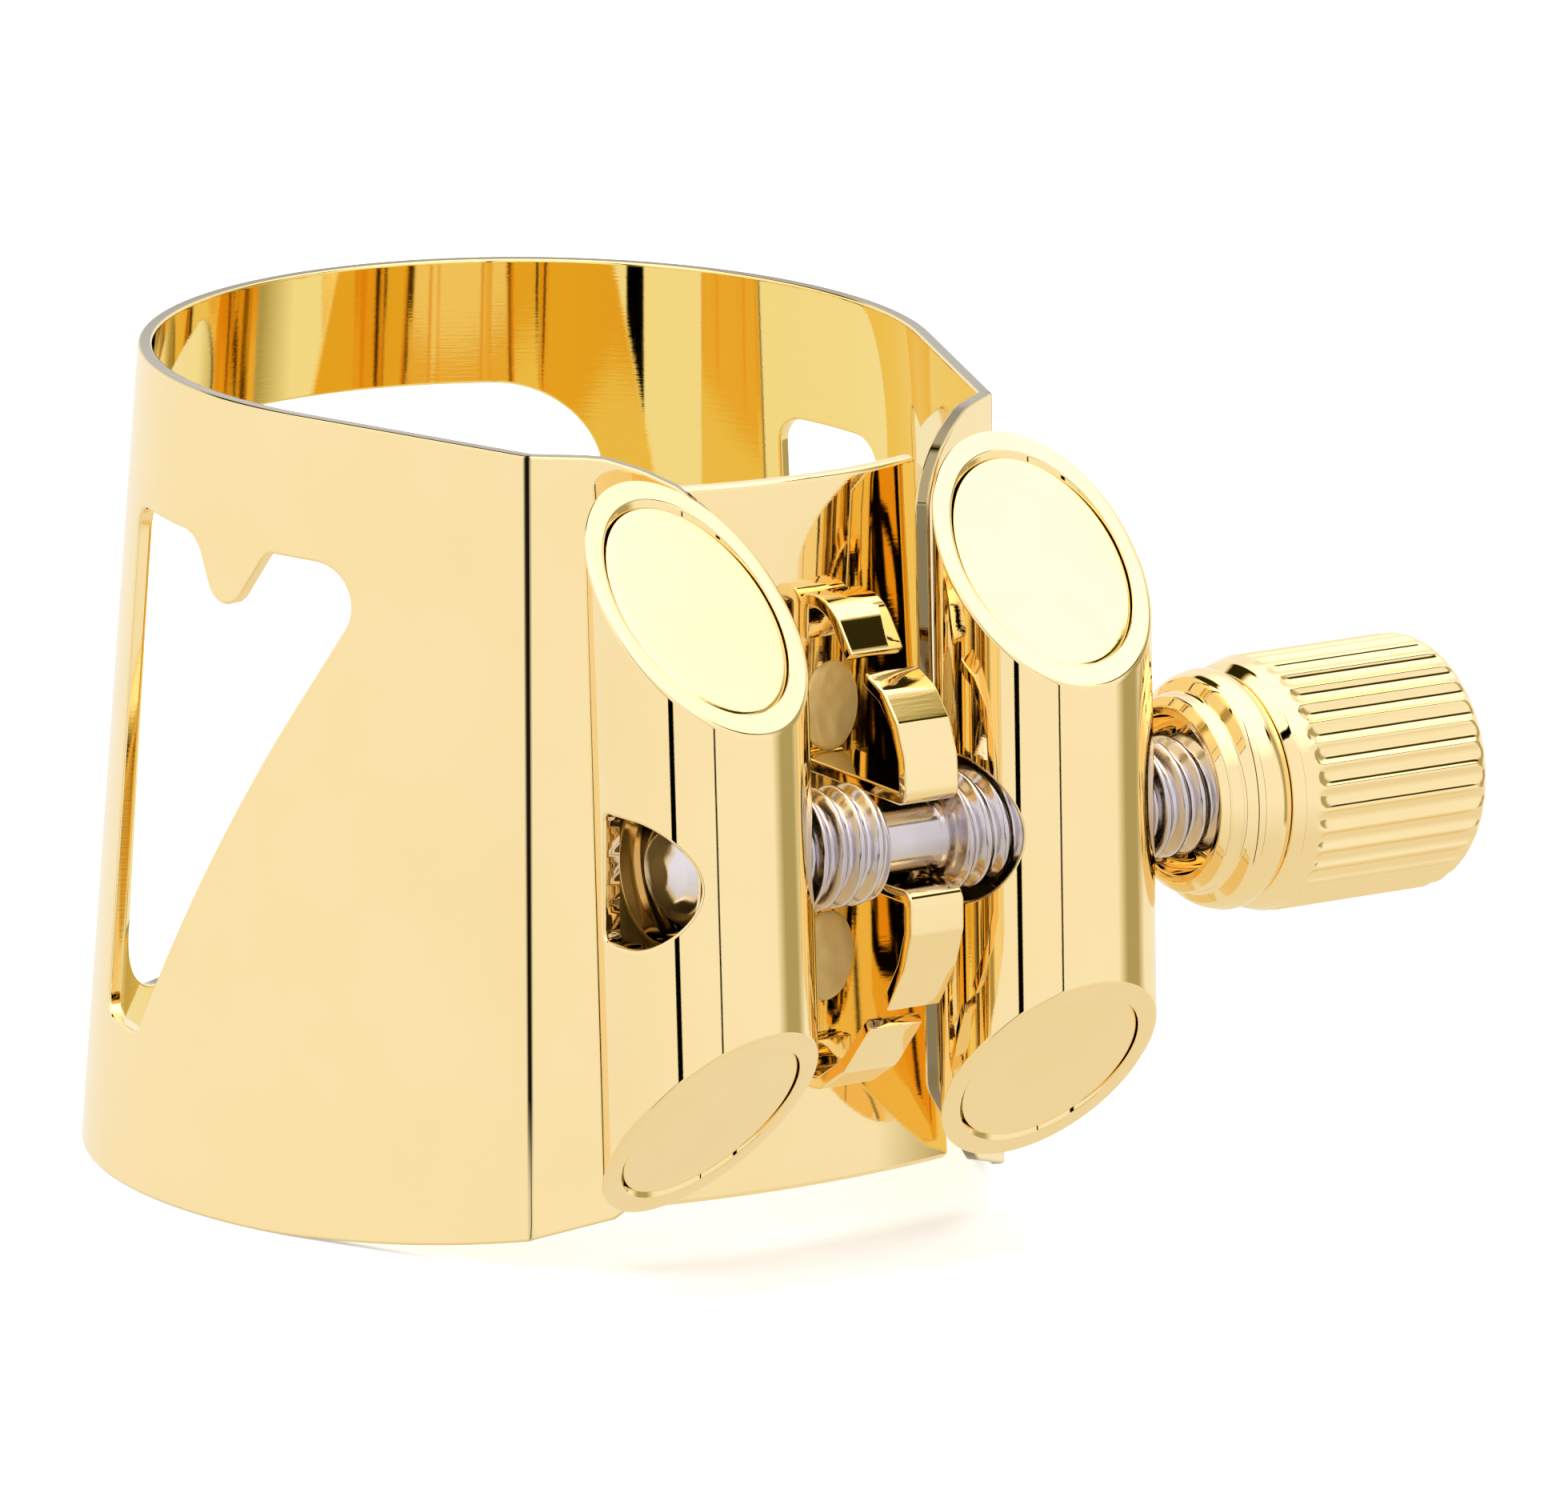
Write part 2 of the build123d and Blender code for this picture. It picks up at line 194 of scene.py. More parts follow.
# ------------------------------------------------------------------ mesh building
class Shape:
    """Vertices and faces of one piece in millimetres. Normals may be given for some vertices."""

    def __init__(self):
        self.points, self.normals, self.faces, self.marks = [], [], [], []

    def add(self, points, normals=None, marks=None):
        start = len(self.points)
        points = np.asarray(points, float)
        self.points.extend(points)
        self.normals.extend([None] * len(points) if normals is None else list(normals))
        self.marks.extend([0.0] * len(points) if marks is None else list(marks))
        return np.arange(start, start + len(points))

    def strip(self, a, b, closed=True):
        count = len(a)
        for i in range(count if closed else count - 1):
            j = (i + 1) % count
            quad = [int(a[i]), int(a[j]), int(b[j]), int(b[i])]
            corners = [c for k, c in enumerate(quad) if c != quad[k - 1]]
            if len(corners) > 2:
                self.faces.append(tuple(corners))

    def skin(self, rings):
        for a, b in zip(rings[:-1], rings[1:]):
            self.strip(a, b)

    def fan(self, ring, centre):
        for i in range(len(ring)):
            self.faces.append((int(ring[i]), int(ring[(i + 1) % len(ring)]), int(centre)))

    def cap(self, ring):
        centre = self.add(np.mean([self.points[i] for i in ring], axis=0)[None])
        self.fan(ring, centre[0])

    def build(self, name, finish, mirror=False):
        points = np.array(self.points)
        turn = np.array([-1.0, 1, 1]) if mirror else np.ones(3)
        mesh = bpy.data.meshes.new(name)
        mesh.from_pydata((points * turn * MM).tolist(), [], self.faces)
        work = bmesh.new()
        work.from_mesh(mesh)
        bmesh.ops.recalc_face_normals(work, faces=work.faces)
        work.to_mesh(mesh)
        work.free()
        mesh.polygons.foreach_set("use_smooth", [True] * len(mesh.polygons))
        normals = area_normals(mesh)
        for i, normal in enumerate(self.normals):
            if normal is not None:
                given = np.asarray(normal) * turn
                normals[i] = given / np.linalg.norm(given)
        mesh.normals_split_custom_set_from_vertices(normals.tolist())
        if any(self.marks):
            layer = mesh.attributes.new("painted_shade_and_matt", "FLOAT", "POINT")
            layer.data.foreach_set("value", np.array(self.marks, np.float32))
        mesh.materials.append(finish)
        return placed(name, mesh)


def area_normals(mesh):
    """Vertex normals weighted by face area, so that flats stay flat beside their rounding."""
    sums = np.zeros((len(mesh.vertices), 3))
    for face in mesh.polygons:
        weighted = np.array(face.normal) * face.area
        for vertex in face.vertices:
            sums[vertex] += weighted
    lengths = np.linalg.norm(sums, axis=1)
    lengths[lengths == 0] = 1
    return sums / lengths[:, None]


def placed(name, data):
    """A new object in the scene for a mesh, lamp or camera."""
    thing = bpy.data.objects.new(name, data)
    bpy.context.scene.collection.objects.link(thing)
    return thing


def settle(piece, body, nodes):
    """A finished piece rides on its body and stands for its nodes."""
    if isinstance(body, str):
        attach(piece, body)
    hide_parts(*nodes)
    return piece


def corner_arc(before, here, after, radius, step_angle=None, parts=6):
    """Arc that rounds the corner at here. With no step angle a sharp corner gets a smaller radius."""
    back, ahead = np.subtract(before, here), np.subtract(after, here)
    back, ahead = back / np.linalg.norm(back), ahead / np.linalg.norm(ahead)
    half = math.acos(max(-1, min(1, float(back @ ahead)))) / 2
    if step_angle is None:
        radius *= min(1.0, math.tan(half) ** 1.5)
    tangent = radius / math.tan(half)
    middle = back + ahead
    centre = here + middle / np.linalg.norm(middle) * radius / math.sin(half)
    first, last = here + back * tangent - centre, here + ahead * tangent - centre
    sweep = math.pi - 2 * half
    if step_angle is not None:
        parts = max(2, int(math.ceil(math.degrees(sweep) / step_angle)))
    return [centre + (math.sin((1 - k / parts) * sweep) * first + math.sin(k / parts * sweep) * last)
            / math.sin(sweep) for k in range(parts + 1)]


def rounded_path(corners, step_angle=15.0, step=None, closed=False):
    """2-D path through (x, y, radius) corners, each turned with an arc of its radius."""
    path = []
    count = len(corners)
    for i, (x, y, radius) in enumerate(corners):
        here = np.array([x, y], float)
        if not closed and i in (0, count - 1) or radius <= 0:
            path.append(here)
            continue
        path += corner_arc(corners[i - 1][:2], here, corners[(i + 1) % count][:2], radius, step_angle)
    path = np.array(path)
    if step:
        ends = np.vstack([path, path[:1]]) if closed else path
        full = []
        for a, b in zip(ends[:-1], ends[1:]):
            parts = max(1, int(math.ceil(np.linalg.norm(b - a) / step)))
            full.extend(a + (b - a) * k / parts for k in range(parts))
        if not closed:
            full.append(ends[-1])
        path = np.array(full)
    return path


def inside(points, loop):
    """Even-odd test of 2-D points against a closed loop."""
    x, y = points[:, 0], points[:, 1]
    hit = np.zeros(len(points), bool)
    for (x0, y0), (x1, y1) in zip(loop, np.roll(loop, -1, axis=0)):
        if y0 == y1:
            continue
        crosses = (y0 > y) != (y1 > y)
        hit ^= crosses & (x < x0 + (y - y0) * (x1 - x0) / (y1 - y0))
    return hit


def triangulate(loops, grid, clearance):
    """Triangles over loops[0] less the other loops. Returns the kept grid points and faces."""
    border = np.vstack(loops)
    keep = inside(grid, loops[0])
    for hole in loops[1:]:
        keep &= ~inside(grid, hole)
    grid = grid[keep]
    gap = np.min(np.linalg.norm(grid[:, None, :] - border[None, :, :], axis=2), axis=1)
    grid = grid[gap > clearance]
    points = np.vstack([border, grid])
    edges, start = [], 0
    for loop in loops:
        count = len(loop)
        edges += [(start + i, start + (i + 1) % count) for i in range(count)]
        start += count
    out, _, faces, origin = delaunay_2d_cdt([tuple(p) for p in points], edges, [], 0, 1e-7)[:4]
    names = [sources[0] if sources else None for sources in origin]
    faces = np.array([[names[i] for i in face] for face in faces if len(face) == 3])
    centres = points[faces].mean(axis=1)
    keep = inside(centres, loops[0])
    for hole in loops[1:]:
        keep &= ~inside(centres, hole)
    return grid, faces[keep]


def loop_insets(loop):
    """Unit steps from a loop's points to its left, mitred at corners."""
    before = loop - np.roll(loop, 1, axis=0)
    after = np.roll(loop, -1, axis=0) - loop
    before /= np.linalg.norm(before, axis=1)[:, None]
    after /= np.linalg.norm(after, axis=1)[:, None]
    left = np.stack([-before[:, 1], before[:, 0]], 1) + np.stack([-after[:, 1], after[:, 0]], 1)
    size = np.maximum((left ** 2).sum(1), 1.2)
    return left * (2 / size)[:, None]


ROUND_ROWS = 4


def rounding(radius):
    """(angle, share left to the edge, depth) rows from a skin to its wall."""
    for k in range(ROUND_ROWS + 1):
        angle = k * math.pi / 2 / ROUND_ROWS
        yield angle, radius * (1 - math.sin(angle)), radius * (1 - math.cos(angle))


# ------------------------------------------------------------------ band
def band_section(height):
    """Plan of the right half of the sheet at some heights: its five runs."""
    share = height / BAND_HEIGHT
    radius = BASE_RADIUS + (TOP_RADIUS - BASE_RADIUS) * share
    corner = np.stack([BASE_CORNER[0] + (TOP_CORNER[0] - BASE_CORNER[0]) * share,
                       -(BASE_CORNER[1] + (TOP_CORNER[1] - BASE_CORNER[1]) * share)], -1)
    reach = POST_REACH - math.tan(POST_LEAN) * (height - SCREW_HEIGHT)
    post = np.stack([np.full_like(reach, POST_X), -reach], -1)
    hug = POST_RADIUS + SOLDER_GAP
    span = np.linalg.norm(corner, axis=-1)
    last = np.arctan2(corner[..., 0], corner[..., 1]) - np.arccos(radius / span)
    leave = radius[..., None] * np.stack([np.sin(last), np.cos(last)], -1)
    wall = corner - leave
    wall_length = np.linalg.norm(wall, axis=-1)
    wall = wall / wall_length[..., None]
    to_post = post - corner
    distance = np.linalg.norm(to_post, axis=-1)
    swing = -np.arcsin(hug / distance)
    ux, uy = to_post[..., 0] / distance, to_post[..., 1] / distance
    wing = np.stack([ux * np.cos(swing) - uy * np.sin(swing),
                     ux * np.sin(swing) + uy * np.cos(swing)], -1)
    wing_length = np.sqrt(distance ** 2 - hug ** 2)
    turn = np.arccos(np.clip((wall * wing).sum(-1), -1, 1))
    return dict(radius=radius, corner=corner, post=post, hug=hug, last=last, leave=leave,
                wall=wall, wing=wing, wing_length=wing_length, turn=turn,
                bite=FOLD_RADIUS * np.tan(turn / 2), wall_length=wall_length)


def run_starts():
    """Places along the sheet, measured at mid height, where its runs begin and end."""
    c = band_section(np.array(BAND_HEIGHT / 2))
    lengths = [c["radius"] * c["last"], c["wall_length"] - c["bite"], FOLD_RADIUS * c["turn"],
               c["wing_length"] - c["bite"], c["hug"] * HUG_ARC]
    return np.concatenate([[0], np.cumsum([float(v) for v in lengths])])


RUNS = run_starts()


def right_of(direction):
    return np.stack([direction[..., 1], -direction[..., 0]], -1)


def place_sheet(s, z, depth=0.0):
    """Points of the right half of the sheet at a distance along it, a height and a depth."""
    s, z = np.atleast_1d(np.asarray(s, float)), np.atleast_1d(np.asarray(z, float))
    depth = np.broadcast_to(np.asarray(depth, float), s.shape)
    c = band_section(z)
    run = np.clip(np.searchsorted(RUNS, s, side="right") - 1, 0, 4)
    t = (s - RUNS[run]) / (RUNS[run + 1] - RUNS[run])
    flat = np.zeros(s.shape + (2,))
    angle = t * c["last"]
    arc = (c["radius"] - depth)[:, None] * np.stack([np.sin(angle), np.cos(angle)], -1)
    in_wall, in_wing = right_of(c["wall"]), right_of(c["wing"])
    bite = c["bite"][:, None]
    wall_end = c["corner"] - c["wall"] * bite
    wall = c["leave"] + (wall_end - c["leave"]) * t[:, None] + in_wall * depth[:, None]
    centre = wall_end + in_wall * FOLD_RADIUS
    bend = -t * c["turn"]
    ox, oy = -in_wall[:, 0], -in_wall[:, 1]
    spoke = np.stack([ox * np.cos(bend) - oy * np.sin(bend), ox * np.sin(bend) + oy * np.cos(bend)], -1)
    fold = centre + spoke * (FOLD_RADIUS - depth)[:, None]
    wing_start = c["corner"] + c["wing"] * bite
    wing_end = c["corner"] + c["wing"] * c["wing_length"][:, None]
    wing = wing_start + (wing_end - wing_start) * t[:, None] + in_wing * depth[:, None]
    touch = wing_end - c["post"]
    around = np.arctan2(touch[:, 1], touch[:, 0]) + t * HUG_ARC
    hug = c["post"] + (c["hug"] + depth)[:, None] * np.stack([np.cos(around), np.sin(around)], -1)
    for i, part in enumerate((arc, wall, fold, wing, hug)):
        flat[run == i] = part[run == i]
    return np.column_stack([flat, z])


def sheet_frame(s, z):
    """Outward normals and the two surface directions of the sheet."""
    step = 1e-4
    s_in = np.clip(s, step, RUNS[-1] - step)
    along = place_sheet(s_in + step, z) - place_sheet(s_in - step, z)
    up = place_sheet(s_in, z + step) - place_sheet(s_in, z - step)
    along /= np.linalg.norm(along, axis=1)[:, None]
    up /= np.linalg.norm(up, axis=1)[:, None]
    normal = np.cross(up, along)
    return normal / np.linalg.norm(normal, axis=1)[:, None], along, up


def lower_rim(y):
    """Height of the lower rim, which rises in an arc, then steeply towards the wing's tip."""
    foot, fold = -5.0, (-14.2, 1.15)
    radius = ((foot - fold[0]) ** 2 + fold[1] ** 2) / (2 * fold[1])
    arc = radius - np.sqrt(np.maximum(radius ** 2 - np.minimum(y - foot, 0) ** 2, 0))
    tip = np.interp(-y, *LOWER_TIP)
    return np.where(y < fold[0], tip, arc)


def upper_rim(y):
    """Height of the upper rim, level as far as the fold and falling towards the wing's tip."""
    return np.interp(-y, *UPPER_TIP)


def rim_points(stations, rule, start):
    z = np.full(len(stations), start)
    for _ in range(12):
        z = rule(place_sheet(stations, z)[:, 1])
    return np.column_stack([stations, z])


def along_from(axis, value, z):
    """Distance along the sheet where a coordinate has a value, at each height."""
    table = np.linspace(0, RUNS[3], 700)
    found = []
    for v, height in zip(value, z):
        track = place_sheet(table, np.full(len(table), height))[:, axis]
        if axis == 0:
            top = int(np.argmax(track))
            found.append(np.interp(v, track[:top + 1], table[:top + 1]))
        else:
            found.append(np.interp(-v, -track, table))
    return np.array(found)


def band_half(name, mirror, nodes):
    stations = np.unique(np.concatenate([
        np.arange(0, RUNS[1], 0.3), np.arange(RUNS[1], RUNS[2], 0.35),
        np.linspace(RUNS[2], RUNS[3], 15), np.arange(RUNS[3], RUNS[4], 0.35),
        np.linspace(RUNS[4], RUNS[5], 8)]))
    stations = stations[np.concatenate([[True], np.diff(stations) > 1e-3])]
    low = rim_points(stations, lower_rim, 0.0)
    high = rim_points(stations, upper_rim, BAND_HEIGHT)
    tip_heights = np.linspace(low[-1, 1], high[-1, 1], 26)[1:-1]
    tip = np.column_stack([np.full(len(tip_heights), RUNS[-1]), tip_heights])
    wide, sill, head = BACK_WINDOW
    window = rounded_path([(-wide, 12.9, 0), (-wide, head, 3.2), (wide, head, 3.2), (wide, sill, 2.4),
                           (-wide, sill, 2.4), (-wide, 12.9, 0)], 5.0, 0.3)
    bite = np.vstack([[0, head], window[window[:, 0] > 0.01], [0, sill]])
    bite = np.column_stack([along_from(0, bite[:, 0], bite[:, 1]), bite[:, 1]])
    bite[0, 0] = bite[-1, 0] = 0
    outer = np.vstack([low, tip, high[::-1], bite])
    seven = rounded_path(SIDE_WINDOW, 7.0, 0.25, closed=True)
    seven = np.column_stack([along_from(1, seven[:, 0], seven[:, 1]), seven[:, 1]])
    area = np.sum(seven[:, 0] * np.roll(seven[:, 1], -1) - np.roll(seven[:, 0], -1) * seven[:, 1])
    if area > 0:
        seven = seven[::-1]
    loops = [outer, seven]
    insets = [loop_insets(loop) for loop in loops]
    seam = outer[:, 0] < 1e-9
    insets[0][seam] = 0
    insets[0][0] = (0, 1)
    for i in np.flatnonzero(seam)[1:]:
        insets[0][i] = (0, -1) if outer[i, 1] > 26 or abs(outer[i, 1] - sill) < 0.1 else (0, 1)

    shape = Shape()
    rows = [[] for _ in loops]
    inner_rows = [[] for _ in loops]
    for index, (loop, inset) in enumerate(zip(loops, insets)):
        normal, along, up = sheet_frame(loop[:, 0], loop[:, 1])
        towards = -(along * inset[:, :1] + up * inset[:, 1:])
        size = np.linalg.norm(towards, axis=1)
        towards = towards / np.maximum(size, 1e-9)[:, None]
        for angle, left, depth in rounding(RIM_ROUND):
            at = loop + inset * left
            # painted shade: a dark line painted on the outer loop's rim roundings, darkest towards the
            # wall
            edge = 0.75 * math.sin(angle) ** 4 if index == 0 else 0.0
            mark = np.maximum(painted_fold_shade(at[:, 0], at[:, 1]), edge)
            # inner rows start at -1, the painted deeper gold inside the band, and rise towards the rim's
            # painted dark line
            in_mark = np.full(len(at), edge - math.cos(angle))
            blend_out = normal * math.cos(angle) + towards * math.sin(angle)
            blend_in = -normal * math.cos(angle) + towards * math.sin(angle)
            rows[index].append(shape.add(place_sheet(at[:, 0], at[:, 1], depth), blend_out, mark))
            behind = place_sheet(at[:, 0], at[:, 1], SHEET - depth)
            inner_rows[index].append(shape.add(behind, blend_in, in_mark))
    skin_loops = [loop + inset * RIM_ROUND for loop, inset in zip(loops, insets)]
    grid = np.array([(s, z) for s in stations for z in np.arange(0.6, BAND_HEIGHT, 1.05)])
    grid, faces = triangulate(skin_loops, grid, 0.16)
    normal = sheet_frame(grid[:, 0], grid[:, 1])[0]
    for depth, sign, bank in ((0.0, 1, rows), (SHEET, -1, inner_rows)):
        # the inner skin, marked -1, gets the painted deeper gold
        marks = painted_fold_shade(grid[:, 0], grid[:, 1]) if depth == 0 else np.full(len(grid), -1.0)
        inner = shape.add(place_sheet(grid[:, 0], grid[:, 1], depth), normal * sign, marks)
        names = np.concatenate([bank[0][0], bank[1][0], inner])
        shape.faces.extend(tuple(int(v) for v in face) for face in names[faces])
    for bank, other in zip(rows, inner_rows):
        shape.skin(bank)
        for a, b in zip(other[:-1], other[1:]):
            shape.strip(b, a)
        shape.strip(bank[-1], other[-1])
    piece = shape.build(name, GOLD, mirror)
    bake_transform(piece)
    return settle(piece, None, nodes)


def painted_fold_shade(s, z):
    """Painted shade: a dark line painted along the front fold where the bend shows a dark reflection,
    fading towards the lower rim.
    """
    middle = RUNS[2] + (RUNS[3] - RUNS[2]) * 0.5
    line = np.clip(1.6 - np.abs(s - middle) / 0.085, 0, 1)
    return line * np.clip((z - 2.0) / 3.5, 0.25, 1)


band_half("left_band_sheet", True, ("band_left", "bridge_upper"))
band_half("right_band_sheet", False, ("band_right", "bridge_lower"))


# ------------------------------------------------------------------ posts
def turn_x(angle):
    c, s = math.cos(angle), math.sin(angle)
    return np.array([[1, 0, 0], [0, c, -s], [0, s, c]])


def turn_z(angle):
    c, s = math.cos(angle), math.sin(angle)
    return np.array([[c, -s, 0], [s, c, 0], [0, 0, 1]])


POST_TURN = turn_z(-POST_TOE_IN) @ turn_x(-POST_LEAN)
POST_CENTRE = np.array([POST_X, -POST_REACH, SCREW_HEIGHT])


def post_points(radius, angle, t):
    """Points at a radius and angle about the right post's axis, t along it from screw height."""
    radius, angle, t = np.broadcast_arrays(radius, angle, t)
    local = np.stack([radius * np.cos(angle), radius * np.sin(angle), t], -1)
    return local @ POST_TURN.T + POST_CENTRE


def slant(height, slope, angle):
    """Axial start on the axis, and rise per millimetre of radius, of a slanted end."""
    back = math.tan(POST_LEAN) * (height - SCREW_HEIGHT)
    normal = np.array([0, -slope, 1]) @ turn_x(-POST_LEAN)
    start = (-slope * back + height - SCREW_HEIGHT) / normal[2]
    return start, -(normal[1] * np.sin(angle)) / normal[2]


AROUND = 216                 # steps round a post
RING_OUTER_ROUND, RING_BORE_ROUND = 0.27, 0.16
RING_DEPTH, RING_SKIRT = 1.6, 2.2      # bore and outside wall drawn with each slanted end


def ring_profile(height, slope, angle, up):
    """Section of a post's end at one angle: wall, rounded rim, and the recess for the disc."""
    start, rise = slant(height, slope, angle)
    bore = POST_RADIUS - POST_WALL
    floor = start + rise * bore - up * RING_DEPTH
    corners = [(POST_RADIUS, start + rise * POST_RADIUS - up * RING_SKIRT, 0),
               (POST_RADIUS, start + rise * POST_RADIUS, RING_OUTER_ROUND),
               (bore, start + rise * bore, RING_BORE_ROUND), (bore, floor, 0)]
    path = []
    for i, (x, y, radius) in enumerate(corners):
        here = np.array([x, y])
        if radius == 0:
            path.append(here)
        else:
            path += corner_arc(corners[i - 1][:2], here, corners[i + 1][:2], radius)
    return np.array(path)


def bore_hits(radius, offset_y, offset_z, side):
    """Where lines along the screw meet the post's cylinder: angle and t."""
    start = np.column_stack([np.zeros_like(offset_y), offset_y, offset_z]) @ POST_TURN
    line = np.array([1.0, 0, 0]) @ POST_TURN
    a = line[0] ** 2 + line[1] ** 2
    b = start[:, 0] * line[0] + start[:, 1] * line[1]
    c = start[:, 0] ** 2 + start[:, 1] ** 2 - radius ** 2
    reach = (-b + side * np.sqrt(b ** 2 - a * c)) / a
    hit = start + reach[:, None] * line
    return np.arctan2(hit[:, 1], hit[:, 0]), hit[:, 2]


def round_hole(radius):
    """Outline of a round hole: (Y, Z) offsets from the screw's axis and outward directions."""
    around = np.arange(96) * 2 * math.pi / 96
    away = np.column_stack([np.cos(around), np.sin(around)])
    return radius * away, away


def half_round_hole():
    """Hole that is flat at the back and round at the front."""
    radius, forward, back, corner = 2.07, -0.77, 0.55, 0.3
    turn = np.radians(np.arange(-90, 1, 7.5))
    low = np.column_stack([np.cos(turn), np.sin(turn)])
    high = low[::-1] * (1, -1)
    side = np.linspace(-(radius - corner), radius - corner, 16)[1:-1]
    nose = np.radians(np.arange(90, 270.1, 3.75))
    nose = np.column_stack([np.cos(nose), np.sin(nose)])
    flat = np.tile((1.0, 0.0), (len(side), 1))
    away = np.vstack([low, flat, high, nose])
    points = np.vstack([
        low * corner + (back - corner, corner - radius),
        np.column_stack([np.full(len(side), back), side]),
        high * corner + (back - corner, radius - corner),
        nose * radius + (forward, 0)])
    return points, away


def post_shell(name, mirror, node, body):
    shape = Shape()
    seam = math.pi / 2
    angles = seam + np.arange(AROUND) * 2 * math.pi / AROUND
    ends = {}
    for key, height, slope, up in (("top", POST_TOP, TOP_SLOPE, 1), ("base", POST_BASE, BASE_SLOPE, -1)):
        profiles = np.array([ring_profile(height, slope, angle, up) for angle in angles])
        rings = []
        for row in range(1, profiles.shape[1]):
            at = profiles[:, row]
            normals = None
            if row == 1:
                normals = np.stack([np.cos(angles), np.sin(angles), 0 * angles], -1) @ POST_TURN.T
            rings.append(shape.add(post_points(at[:, 0], angles, at[:, 1]), normals))
        shape.skin(rings)
        ends[key] = (rings, profiles)
    holes = []
    outer_hole = half_round_hole() if mirror else round_hole(OUTER_HOLE)
    for side, (outline, away) in ((-1, round_hole(INNER_HOLE)), (1, outer_hole)):
        rows = []
        inwards = -np.column_stack([np.zeros(len(away)), away])
        for angle, left, depth in rounding(HOLE_ROUND):
            at = outline + away * left
            theta, t = bore_hits(POST_RADIUS, at[:, 0], at[:, 1], side)
            points = post_points(POST_RADIUS, theta, t) - np.array([side * depth, 0, 0])
            skin = np.stack([np.cos(theta), np.sin(theta), 0 * theta], -1) @ POST_TURN.T
            rows.append(shape.add(points, skin * math.cos(angle) + inwards * math.sin(angle)))
            if angle == 0:
                flat = np.column_stack([np.mod(theta - seam, 2 * math.pi) * POST_RADIUS, t])
        bore = POST_RADIUS - POST_WALL
        theta, t = bore_hits(bore, outline[:, 0], outline[:, 1], side)
        inner = shape.add(post_points(bore, theta, t))
        inner_flat = np.column_stack([np.mod(theta - seam, 2 * math.pi) * POST_RADIUS, t])
        shape.skin(rows + [inner])
        holes.append((rows[0], flat, inner, inner_flat))
    for inner, row, radius in ((False, 0, POST_RADIUS), (True, -1, POST_RADIUS - POST_WALL)):
        base_ids, top_ids = ends["base"][0][row], ends["top"][0][row]
        base_t = ends["base"][1][:, 1 if not inner else -1, 1]
        top_t = ends["top"][1][:, 1 if not inner else -1, 1]
        s = np.append((angles - seam) * POST_RADIUS, 2 * math.pi * POST_RADIUS)
        base_t, top_t = np.append(base_t, base_t[0]), np.append(top_t, top_t[0])
        heights = np.linspace(base_t[0], top_t[0], 20)[1:-1]
        normals = None if inner else np.tile(np.array([math.cos(seam), math.sin(seam), 0])
                                             @ POST_TURN.T, (len(heights), 1))
        seam_ids = shape.add(post_points(radius, np.full(len(heights), seam), heights), normals)
        border = np.vstack([np.column_stack([s, base_t]),
                            np.column_stack([np.full(len(heights), s[-1]), heights]),
                            np.column_stack([s, top_t])[::-1],
                            np.column_stack([np.zeros(len(heights)), heights[::-1]])])
        ids = np.concatenate([np.append(base_ids, base_ids[0]), seam_ids,
                              np.append(top_ids, top_ids[0])[::-1], seam_ids[::-1]])
        loops, names = [border], [ids]
        for hole in holes:
            ring, flat = (hole[2], hole[3]) if inner else (hole[0], hole[1])
            loops.append(flat)
            names.append(ring)
        grid = np.array([(x, t) for x in s[1:-1] for t in np.arange(-9.4, 9.4, 0.9)])
        grid, faces = triangulate(loops, grid, 0.07)
        theta = seam + grid[:, 0] / POST_RADIUS
        normals = None if inner else np.stack([np.cos(theta), np.sin(theta), 0 * theta], -1) @ POST_TURN.T
        # -2: painted deeper gold inside the tube, with a matt, less metallic finish
        marks = np.full(len(theta), -2.0) if inner else None
        names.append(shape.add(post_points(radius, theta, grid[:, 1]), normals, marks))
        names = np.concatenate(names)
        for face in names[faces]:
            face = [int(v) for v in face]
            if len(set(face)) == 3:
                shape.faces.append(tuple(face))
    return settle(shape.build(name, GOLD, mirror), body, (node,))


def end_disc(name, mirror, height, slope, up, node, body):
    """Oval disc let into a post's slanted end, very slightly crowned, with a broken edge."""
    shape = Shape()
    angles = np.arange(AROUND) * 2 * math.pi / AROUND
    start, rise = slant(height, slope, angles)
    edge = POST_RADIUS - POST_WALL - 0.05
    recess, thick, crown = 0.13, 0.5, 0.05
    profile = [(edge * share, recess - crown * (1 - share ** 2)) for share in np.linspace(0.08, 0.93, 12)]
    profile += [(edge - left, recess + 0.01 + depth) for _, left, depth in rounding(0.1)]
    profile += [(edge, recess + thick), (edge * 0.5, recess + thick)]
    rings = [shape.add(post_points(r, angles, start + rise * r - up * drop)) for r, drop in profile]
    shape.skin(rings)
    for ring, drop in ((rings[0], recess - crown), (rings[-1], recess + thick)):
        centre = shape.add(post_points(np.zeros(1), np.zeros(1), np.array([start - up * drop])))
        shape.fan(ring, centre[0])
    return settle(shape.build(name, GOLD, mirror), body, (node,))


# ------------------------------------------------------------------ turned pieces
def turned(name, path, finish, segments=128, loop=False):
    """Piece turned about the screw's axis from (position, radius) points."""
    centre = np.array([0, -POST_REACH, SCREW_HEIGHT])
    shape = Shape()
    angles = np.arange(segments) * 2 * math.pi / segments
    rings = []
    for x, r in path:
        ring = np.stack([np.full(segments, x), r * np.cos(angles), r * np.sin(angles)], -1)
        rings.append(shape.add(ring + centre))
    shape.skin(rings)
    if loop:
        shape.strip(rings[-1], rings[0])
    else:
        for ring, x in ((rings[0], path[0][0]), (rings[-1], path[-1][0])):
            tip = shape.add(np.array([[x, 0, 0]]) + centre)
            shape.fan(ring, tip[0])
    return shape.build(name, finish, False)


def mirrored(path):
    return [(-x, r) for x, r in path]


